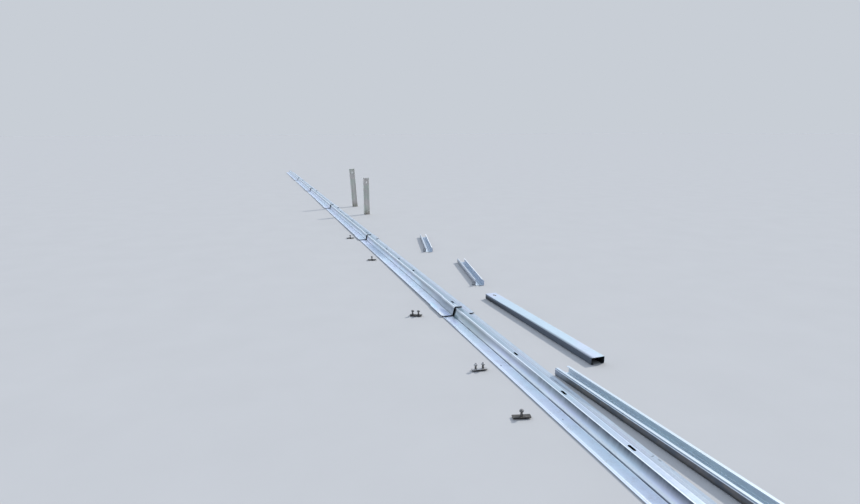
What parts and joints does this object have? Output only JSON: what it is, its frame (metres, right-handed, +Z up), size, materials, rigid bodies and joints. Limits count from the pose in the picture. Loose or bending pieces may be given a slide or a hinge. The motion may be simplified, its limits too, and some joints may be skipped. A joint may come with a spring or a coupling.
{
  "type": "highway guardrail section laid out for erection",
  "caption": "Galvanised guardrail section laid out on the ground: lapped angular beams back side up, with loose and driven posts, spacer channels and bolt sets beside them",
  "frame": {"origin": "on the underside of the first beam's left band, midway across it and level with the beam's first post slot", "axes": "+Y runs along the beams from the near end to the far end, +X to the right across the run, +Z up from the ground"},
  "size_m": [1.3691, 24.3002, 0.872],
  "materials": {
    "beam_zinc": "fresh hot-dip galvanised sheet with faint mottling",
    "post_zinc": "hot-dip galvanised section, slightly duller than the beams",
    "fastener_zinc": "dark spun galvanised cover plates and bolts",
    "nut_zinc": "bright galvanised nuts"
  },
  "bodies": {
    "root": {"beam_1": "beam_zinc", "beam_2": "beam_zinc", "beam_3": "beam_zinc", "beam_4": "beam_zinc", "beam_5": "beam_zinc", "beam_6": "beam_zinc", "open_post": "post_zinc", "web_up_post": "post_zinc", "driven_post": "post_zinc", "half_driven_post": "post_zinc", "spacer_1": "post_zinc", "spacer_2": "post_zinc", "cover_plate_1": "fastener_zinc", "cover_plate_2": "fastener_zinc", "cover_plate_3": "fastener_zinc", "cover_plate_4": "fastener_zinc", "cover_plate_5": "fastener_zinc", "bolts_1": "fastener_zinc", "bolts_2": "fastener_zinc", "bolts_3": "fastener_zinc", "bolts_4": "fastener_zinc", "bolts_5": "fastener_zinc", "nuts_1": "nut_zinc", "nuts_2": "nut_zinc", "nuts_3": "nut_zinc", "nuts_4": "nut_zinc", "nuts_5": "nut_zinc"}
  },
  "joints": []
}
